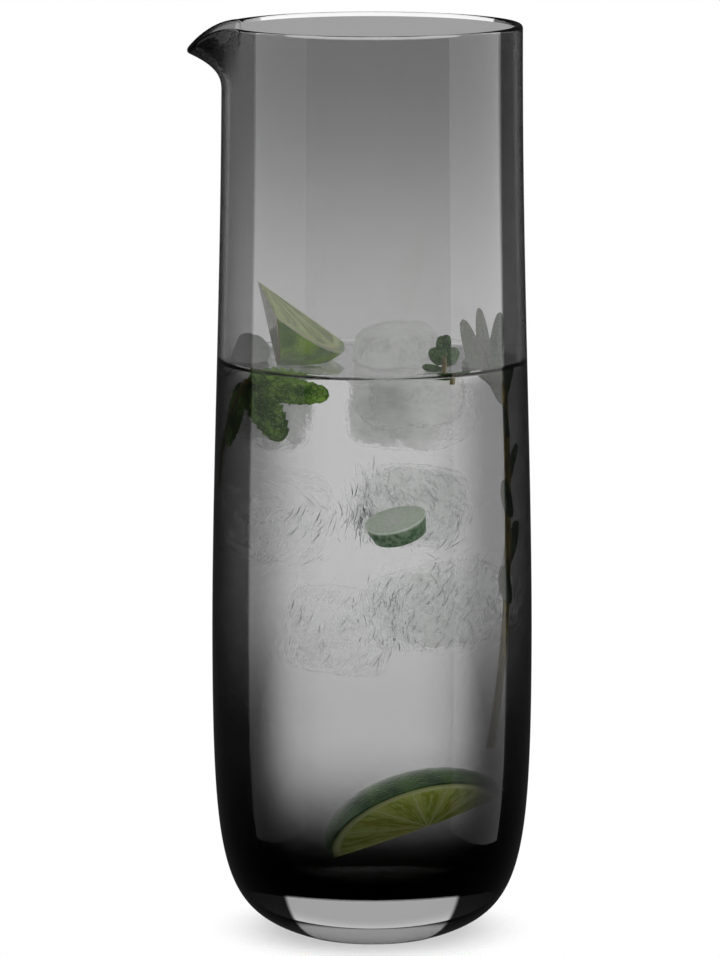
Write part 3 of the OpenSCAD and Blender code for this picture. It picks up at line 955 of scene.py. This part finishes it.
# Herbs
# Fresh mint at the left and in front of the top ice, and a tall woody sprig stood against the
# wall at the right. Each is one mesh of a stem and of leaves folded at their midribs.
stem_d = 0.0024
mint_leaf = 0.025
herb_leaf = 0.030
leaf_fold = 0.16
leaf_bend = 0.18
leaf_skew = 0.8
leaf_round = 0.4
leaf_thick = 0.0005
leaf_stations = 36
leaf_half_across = 6
vein_depth = 0.012
stem_rings = 24
stem_sides = 12
vein_slant = 1.2
grey_to_green = (0.036, 0.041)
misted_leaf = (0.42, 0.44, 0.38)
leaf_fuzz = (0.75, 0.85, 0.6)
leaf_least = 0.01
leaf_end = 0.1
leaf_noise = {"Scale": 160, "Detail": 7, "Roughness": 0.65}
leaf_patch_edges = (0.36, 0.64)
leaf_cells = {"Scale": 420}
crinkle_edges = (0.0, 0.2)
crinkle_relief = {"Strength": 0.7, "Distance": 0.0006}
fuzz_cells = {"Scale": 1300}
fuzz_edges = (0.15, 0.3)
leaf_roughness = 0.35
bark_stretch = (1, 1, 0.1)
bark_noise = {"Scale": 1800, "Detail": 4}
bark_edges = (0.4, 0.6)
bark_dark = (0.09, 0.07, 0.01)
bark_light = (0.3, 0.24, 0.05)
bark_roughness = 0.45
# Teeth along each side of a leaf, and how deep they are as a share of half its width
mint_teeth = (9, 0.22)
bud_teeth = (7, 0.15)
herb_teeth = (1, 0.0)
# The dark and the light green of each sprig's leaves, the share of fuzz and the share of glow
mint_greens = ((0.055, 0.16, 0.012), (0.4, 0.64, 0.12), 0.7, 0.5)
bud_greens = ((0.015, 0.06, 0.005), (0.1, 0.25, 0.03), 0.2, 0.3)
herb_greens = ((0.015, 0.05, 0.008), (0.08, 0.16, 0.03), 0.1, 0.4)


def placed(points):
    """Places given as shares of the drink's radius at its surface and of the fill line up."""
    surface_r = wall_r(fill) - wall
    return [Vector((p[0] * surface_r, p[1] * surface_r, p[2] * fill)) for p in points]


def along(path, u):
    """Point at share u of a bent line of three control points."""
    return (1 - u) ** 2 * path[0] + 2 * (1 - u) * u * path[1] + u * u * path[2]


def leaf_points(length, width, teeth, tooth):
    """Front and back faces of a leaf along +Z, folded at its midrib and bent at its tip."""
    stations = leaf_stations
    half_across = leaf_half_across
    points = []
    faces = []
    for side in (-1, 1):
        first = len(points)
        for i in range(stations + 1):
            u = i / stations
            half = width * max(leaf_least, math.sin(math.pi * u**leaf_skew)) ** leaf_round / 2
            saw = (u * teeth) % 1
            half *= 1 - tooth * saw if 0 < i < stations else leaf_end
            for j in range(-half_across, half_across + 1):
                v = j / half_across
                vein = math.cos(2 * math.pi * (u * teeth - abs(v) * vein_slant)) * vein_depth * width
                y = length * leaf_bend * u * u + half * abs(v) * leaf_fold * 2
                y += vein * (1 - abs(v)) * min(1, abs(v) * 4)
                y += side * leaf_thick / 2 * (1 - v * v)
                points.append((half * v, y, length * u))
        row = 2 * half_across + 1
        for i in range(stations):
            for j in range(row - 1):
                a = first + i * row + j
                corners = (a, a + 1, a + row + 1, a + row)
                faces.append(corners if side < 0 else corners[::-1])
    return points, faces


def sprig(name, path, stem_r, leaves, length, teeth, finish, node, body):
    """One mesh of a stem and the leaves on it, in the CAD solid's place."""
    points = []
    faces = []
    rings = stem_rings
    sides = stem_sides
    stem_faces = rings * sides
    for i in range(rings + 1):
        for s in range(sides):
            a = 2 * math.pi * s / sides
            points.append(along(path, i / rings) + stem_r * Vector((math.cos(a), math.sin(a), 0)))
    for i in range(rings):
        for s in range(sides):
            t = (s + 1) % sides
            faces.append((i * sides + s, i * sides + t, (i + 1) * sides + t, (i + 1) * sides + s))
    for at, bearing, lean, twist, size, wide in leaves:
        turn = Matrix.Rotation(math.radians(bearing), 4, "Z")
        turn = turn @ Matrix.Rotation(math.radians(lean), 4, "Y")
        turn = turn @ Matrix.Rotation(math.radians(twist), 4, "Z")
        seat = Matrix.Translation(along(path, at)) @ turn
        leaf, skins = leaf_points(length * size, length * size * wide, *teeth)
        first = len(points)
        points += [seat @ Vector(p) for p in leaf]
        faces += [[first + k for k in f] for f in skins]
    mesh = bpy.data.meshes.new(name)
    mesh.from_pydata(points, [], faces)
    mesh.polygons.foreach_set("use_smooth", [True] * len(faces))
    slots = [1] * stem_faces + [0] * (len(faces) - stem_faces)
    mesh.polygons.foreach_set("material_index", slots)
    made = bpy.data.objects.new(name, mesh)
    scene.collection.objects.link(made)
    mesh.materials.append(finish)
    mesh.materials.append(stem_material)
    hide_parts(node)
    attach(made, body)
    return made


def leaf_material(name, dark, light, fuzz, glow_share, misted=False):
    """Green leaf, crinkled and patchy and darker in its creases by painted shade, that shines a
    little and lets light glow through. A misted leaf looks pale grey, but for what is close to the
    wall."""
    made, tree = new_material(name)
    place = add(tree, "TexCoord").outputs["Object"]
    patches = add(tree, "TexNoise", {"Vector": place, **leaf_noise}).outputs[0]
    cells = add(tree, "TexVoronoi", {"Vector": place, **leaf_cells}, feature="DISTANCE_TO_EDGE")
    crinkle = span(tree, cells.outputs["Distance"], *crinkle_edges)
    colour = blend_colours(tree, span(tree, patches, *leaf_patch_edges), dark, light)
    # Painted shade: the colour darkens towards the dark green in the crinkles' creases
    colour = blend_colours(tree, math_node(tree, "MULTIPLY_ADD", crinkle, -0.5, 0.5), colour, dark)
    specks = add(tree, "TexVoronoi", {"Vector": place, **fuzz_cells})
    speck = span(tree, specks.outputs["Distance"], *fuzz_edges, fuzz, 0.0)
    colour = blend_colours(tree, speck, colour, leaf_fuzz)
    if misted:
        x = add(tree, "SeparateXYZ", {0: place}).outputs["X"]
        colour = blend_colours(tree, span(tree, x, *grey_to_green), misted_leaf, colour)
    bump = add(tree, "Bump", {**crinkle_relief, "Height": crinkle})
    sockets = {"Base Color": colour, "Roughness": leaf_roughness, "Normal": bump.outputs[0]}
    body = add(tree, "BsdfPrincipled", sockets).outputs[0]
    glow = add(tree, "BsdfTranslucent", {"Color": colour}).outputs[0]
    finish_surface(tree, add(tree, "MixShader", {0: glow_share, 1: body, 2: glow}).outputs[0])
    return made


mint_material = leaf_material("mint_leaf", *mint_greens)
bud_material = leaf_material("mint_bud_leaf", *bud_greens)
herb_material = leaf_material("herb_leaf", *herb_greens, misted=True)
stem_material, tree = new_material("stem")
place = add(tree, "TexCoord").outputs["Object"]
ribs = add(tree, "Mapping", {"Vector": place, "Scale": bark_stretch}).outputs[0]
ribs = add(tree, "TexNoise", {"Vector": ribs, **bark_noise}).outputs[0]
colour = blend_colours(tree, span(tree, ribs, *bark_edges), bark_dark, bark_light)
bark = add(tree, "BsdfPrincipled", {"Base Color": colour, "Roughness": bark_roughness}).outputs[0]
finish_surface(tree, bark)
# Each leaf's share of the way up the stem, its bearing, lean and twist in degrees, its length
# as a share of a full leaf's, and its width as a share of its length
mint_stem = placed([(-0.956, -0.125, 0.78), (-0.956, -0.249, 0.9), (-0.79, -0.499, 0.985)])
mint_leaves = (
    (1, -31, 150, 0, 0.9, 0.6),
    (0.97, -14, 112, 40, 0.86, 0.5),
    (0.95, 110, 162, 0, 0.9, 0.5),
    (1, -25, 101, 12, 1.05, 0.46),
)
tip_stem = placed([(0.478, -0.519, 0.98), (0.478, -0.519, 1), (0.478, -0.519, 1.03)])
tip_leaves = (
    (1, 180, 10, 0, 0.24, 0.8),
    (1, 0, 14, 25, 0.24, 0.8),
    (0.72, 180, 44, 0, 0.26, 0.85),
    (0.66, 0, 40, 0, 0.26, 0.85),
    (0.4, 185, 76, 15, 0.3, 0.45),
)
herb_stem = placed([(0.623, -0.021, 0.33), (0.893, -0.312, 0.66), (0.769, -0.27, 1.02)])
herb_leaves = (
    (0.88, 180, 18, 0, 1, 0.2),
    (0.89, 178, 7, 0, 1.04, 0.15),
    (0.9, 0, 1, 60, 0.94, 0.12),
    (0.9, 0, 7, 0, 0.9, 0.18),
    (0.92, 175, 40, 0, 0.42, 0.5),
    (0.8, -95, 40, 40, 0.45, 0.5),
    (0.68, 55, 32, 30, 0.48, 0.5),
    (0.6, -95, 36, 60, 0.5, 0.5),
    (0.48, 50, 28, 20, 0.5, 0.5),
    (0.38, -95, 34, 60, 0.5, 0.5),
)
mint_r = stem_d / 2
tip_r = stem_d / 3
herb_r = stem_d / 2
mint = sprig(
    "mint",
    mint_stem,
    mint_r,
    mint_leaves,
    mint_leaf,
    mint_teeth,
    mint_material,
    "mint_sprig",
    "vessel",
)
tip = sprig(
    "mint_bud",
    tip_stem,
    tip_r,
    tip_leaves,
    mint_leaf,
    bud_teeth,
    bud_material,
    "mint_tip",
    "vessel",
)
herb = sprig(
    "herb",
    herb_stem,
    herb_r,
    herb_leaves,
    herb_leaf,
    herb_teeth,
    herb_material,
    "herb_sprig",
    "herb",
)


# Bubbles
# Small beads of air that cling to the ice and to the mint under the drink's surface. They show as
# pale dots with dark rims of painted shade, darker as each bead turns from the eye, and are too
# small for the CAD model.
bubble_sizes = (0.00012, 0.0004)
bubble_seat = 0.8
bubble_facing = -0.2
bubble_skin_gap = 0.004
bubble_top = fill - bubble_skin_gap
bubble_rim_shade = (0.3, 0.8, 1.0, 0.3)
glint_roughness = 0.1
glint_share = 0.08
bubble_wall_gap = 0.003
bubble_counts = ((blocks["ice_middle_back"], 130), (blocks["ice_lower_front"], 60), (mint, 90))
points, faces = [], []
bpy.ops.mesh.primitive_ico_sphere_add(subdivisions=2, radius=1)
bead = bpy.context.active_object
for host, count in bubble_counts:
    skin = [v for v in host.data.vertices if v.normal.y < bubble_facing and v.co.z < bubble_top]
    for vertex in chance.choices(skin, k=count):
        radius = chance.uniform(*bubble_sizes)
        place = vertex.co + vertex.normal * radius * bubble_seat
        if math.hypot(place.x, place.y) > bore_r - bubble_wall_gap:
            continue
        first = len(points)
        points += [place + corner.co * radius for corner in bead.data.vertices]
        faces += [[first + k for k in f.vertices] for f in bead.data.polygons]
bpy.data.objects.remove(bead)
mesh = bpy.data.meshes.new("bubbles")
mesh.from_pydata(points, [], faces)
mesh.polygons.foreach_set("use_smooth", [True] * len(faces))
bubbles = bpy.data.objects.new("bubbles", mesh)
scene.collection.objects.link(bubbles)
made, tree = new_material("air")
# Painted shade: each bead lets less through where it turns away from the eye, which draws its dark
# rim
rim = add(tree, "LayerWeight", {"Blend": 0.5}).outputs["Facing"]
rim_shade = span(tree, rim, *bubble_rim_shade)
sockets = {"Color": (1, 1, 1, 1), "Roughness": glint_roughness}
glint = add(tree, "BsdfGlossy", sockets).outputs[0]
through = add(tree, "BsdfTransparent", {"Color": rim_shade}).outputs[0]
finish_surface(tree, add(tree, "MixShader", {0: glint_share, 1: through, 2: glint}).outputs[0])
mesh.materials.append(made)
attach(bubbles, "vessel")
